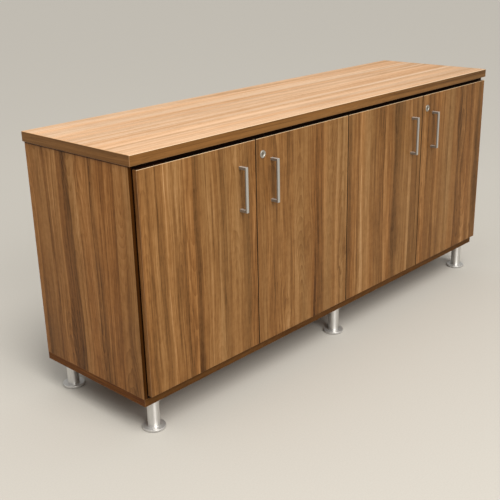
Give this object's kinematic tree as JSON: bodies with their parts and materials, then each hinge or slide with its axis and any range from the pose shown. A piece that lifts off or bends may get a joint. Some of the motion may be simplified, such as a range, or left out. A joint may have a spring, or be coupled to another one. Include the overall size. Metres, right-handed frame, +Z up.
{
  "type": "office credenza",
  "caption": "Long low office storage cabinet with a thick laminated top, flush doors with bar pulls, cam locks, adjustable shelves and short round metal legs.",
  "frame": {"origin": "on the floor, under the middle of the whole object's box, pulls included", "axes": "+Z up, +X along the length to the right of someone facing the doors, +Y towards the back; the doors face -Y"},
  "size_m": [1.83, 0.519, 0.832],
  "materials": {
    "laminate_top": "satin laminate, light brown with a long fine grain",
    "laminate_walnut": "satin laminate, mid brown with a streaky grain",
    "edge_band_dark": "matt edge band, very dark brown",
    "board_inside": "matt melamine, brown",
    "dowel_wood": "raw beech",
    "pull_satin": "satin nickel",
    "leg_chrome": "satin chrome",
    "lock_nickel": "bright nickel",
    "zinc_steel": "zinc plated",
    "black_plastic": "black moulded plastic",
    "bumper_plastic": "dark rubber"
  },
  "bodies": {
    "carcass": {"top_board": "laminate_top", "top_edge_bands": "laminate_walnut", "side_panel_left": "laminate_walnut", "side_panel_right": "laminate_walnut", "centre_partition": "board_inside", "bottom_panel": "board_inside", "top_rail_front": "board_inside", "top_rail_back": "board_inside", "back_panel": "board_inside", "base_panel": "laminate_walnut", "base_edge_bands": "laminate_walnut", "carcass_front_bands": "edge_band_dark", "shelf_left": "board_inside", "shelf_right": "board_inside", "shelf_edge_bands": "laminate_walnut", "shelf_pins": "zinc_steel", "carcass_dowels": "dowel_wood", "carcass_screws": "zinc_steel", "plate_screws": "zinc_steel", "hinge_plates": "zinc_steel", "hinge_arms": "zinc_steel", "strike_plates": "zinc_steel", "door_bumpers": "bumper_plastic", "front_leg_tubes": "leg_chrome", "back_leg_tubes": "leg_chrome", "leg_feet": "leg_chrome", "leg_mounting_plates": "leg_chrome", "foot_glides": "black_plastic"},
    "door_1": {"door_1_panel": "laminate_walnut", "door_1_edge_bands": "laminate_walnut", "door_1_handle": "pull_satin", "door_1_handle_screws": "zinc_steel", "door_1_hinge_cups": "zinc_steel", "bolt_1_case": "zinc_steel"},
    "bolt_1": {"bolt_1_slider": "zinc_steel"},
    "door_2": {"door_2_panel": "laminate_walnut", "door_2_edge_bands": "laminate_walnut", "door_2_handle": "pull_satin", "door_2_handle_screws": "zinc_steel", "door_2_hinge_cups": "zinc_steel", "lock_2_housing": "lock_nickel", "lock_2_nut": "zinc_steel"},
    "lock_2": {"lock_2_core": "lock_nickel", "lock_2_cam": "zinc_steel"},
    "door_3": {"door_3_panel": "laminate_walnut", "door_3_edge_bands": "laminate_walnut", "door_3_handle": "pull_satin", "door_3_handle_screws": "zinc_steel", "door_3_hinge_cups": "zinc_steel", "bolt_3_case": "zinc_steel"},
    "bolt_3": {"bolt_3_slider": "zinc_steel"},
    "door_4": {"door_4_panel": "laminate_walnut", "door_4_edge_bands": "laminate_walnut", "door_4_handle": "pull_satin", "door_4_handle_screws": "zinc_steel", "door_4_hinge_cups": "zinc_steel", "lock_4_housing": "lock_nickel", "lock_4_nut": "zinc_steel"},
    "lock_4": {"lock_4_core": "lock_nickel", "lock_4_cam": "zinc_steel"}
  },
  "joints": [
    {"name": "door_1_hinge", "type": "hinge", "parent": "carcass", "child": "door_1", "pos_m": [-0.896, -0.2315, 0.463], "axis": [0, 0, -1], "range_deg": [0, 110]},
    {"name": "door_2_hinge", "type": "hinge", "parent": "carcass", "child": "door_2", "pos_m": [-0.005, -0.2315, 0.463], "axis": [0, 0, 1], "range_deg": [0, 85]},
    {"name": "door_3_hinge", "type": "hinge", "parent": "carcass", "child": "door_3", "pos_m": [0.005, -0.2315, 0.463], "axis": [0, 0, -1], "range_deg": [0, 85]},
    {"name": "door_4_hinge", "type": "hinge", "parent": "carcass", "child": "door_4", "pos_m": [0.896, -0.2315, 0.463], "axis": [0, 0, 1], "range_deg": [0, 110]},
    {"name": "lock_2_turn", "type": "hinge", "parent": "door_2", "child": "lock_2", "pos_m": [-0.421, -0.2315, 0.742], "axis": [0, -1, 0], "range_deg": [0, 90]},
    {"name": "lock_4_turn", "type": "hinge", "parent": "door_4", "child": "lock_4", "pos_m": [0.48, -0.2315, 0.742], "axis": [0, -1, 0], "range_deg": [0, 90]},
    {"name": "bolt_1_slide", "type": "slide", "parent": "door_1", "child": "bolt_1", "axis": [0, 0, 1], "range_m": [0, 0.01]},
    {"name": "bolt_3_slide", "type": "slide", "parent": "door_3", "child": "bolt_3", "axis": [0, 0, 1], "range_m": [0, 0.01]}
  ]
}
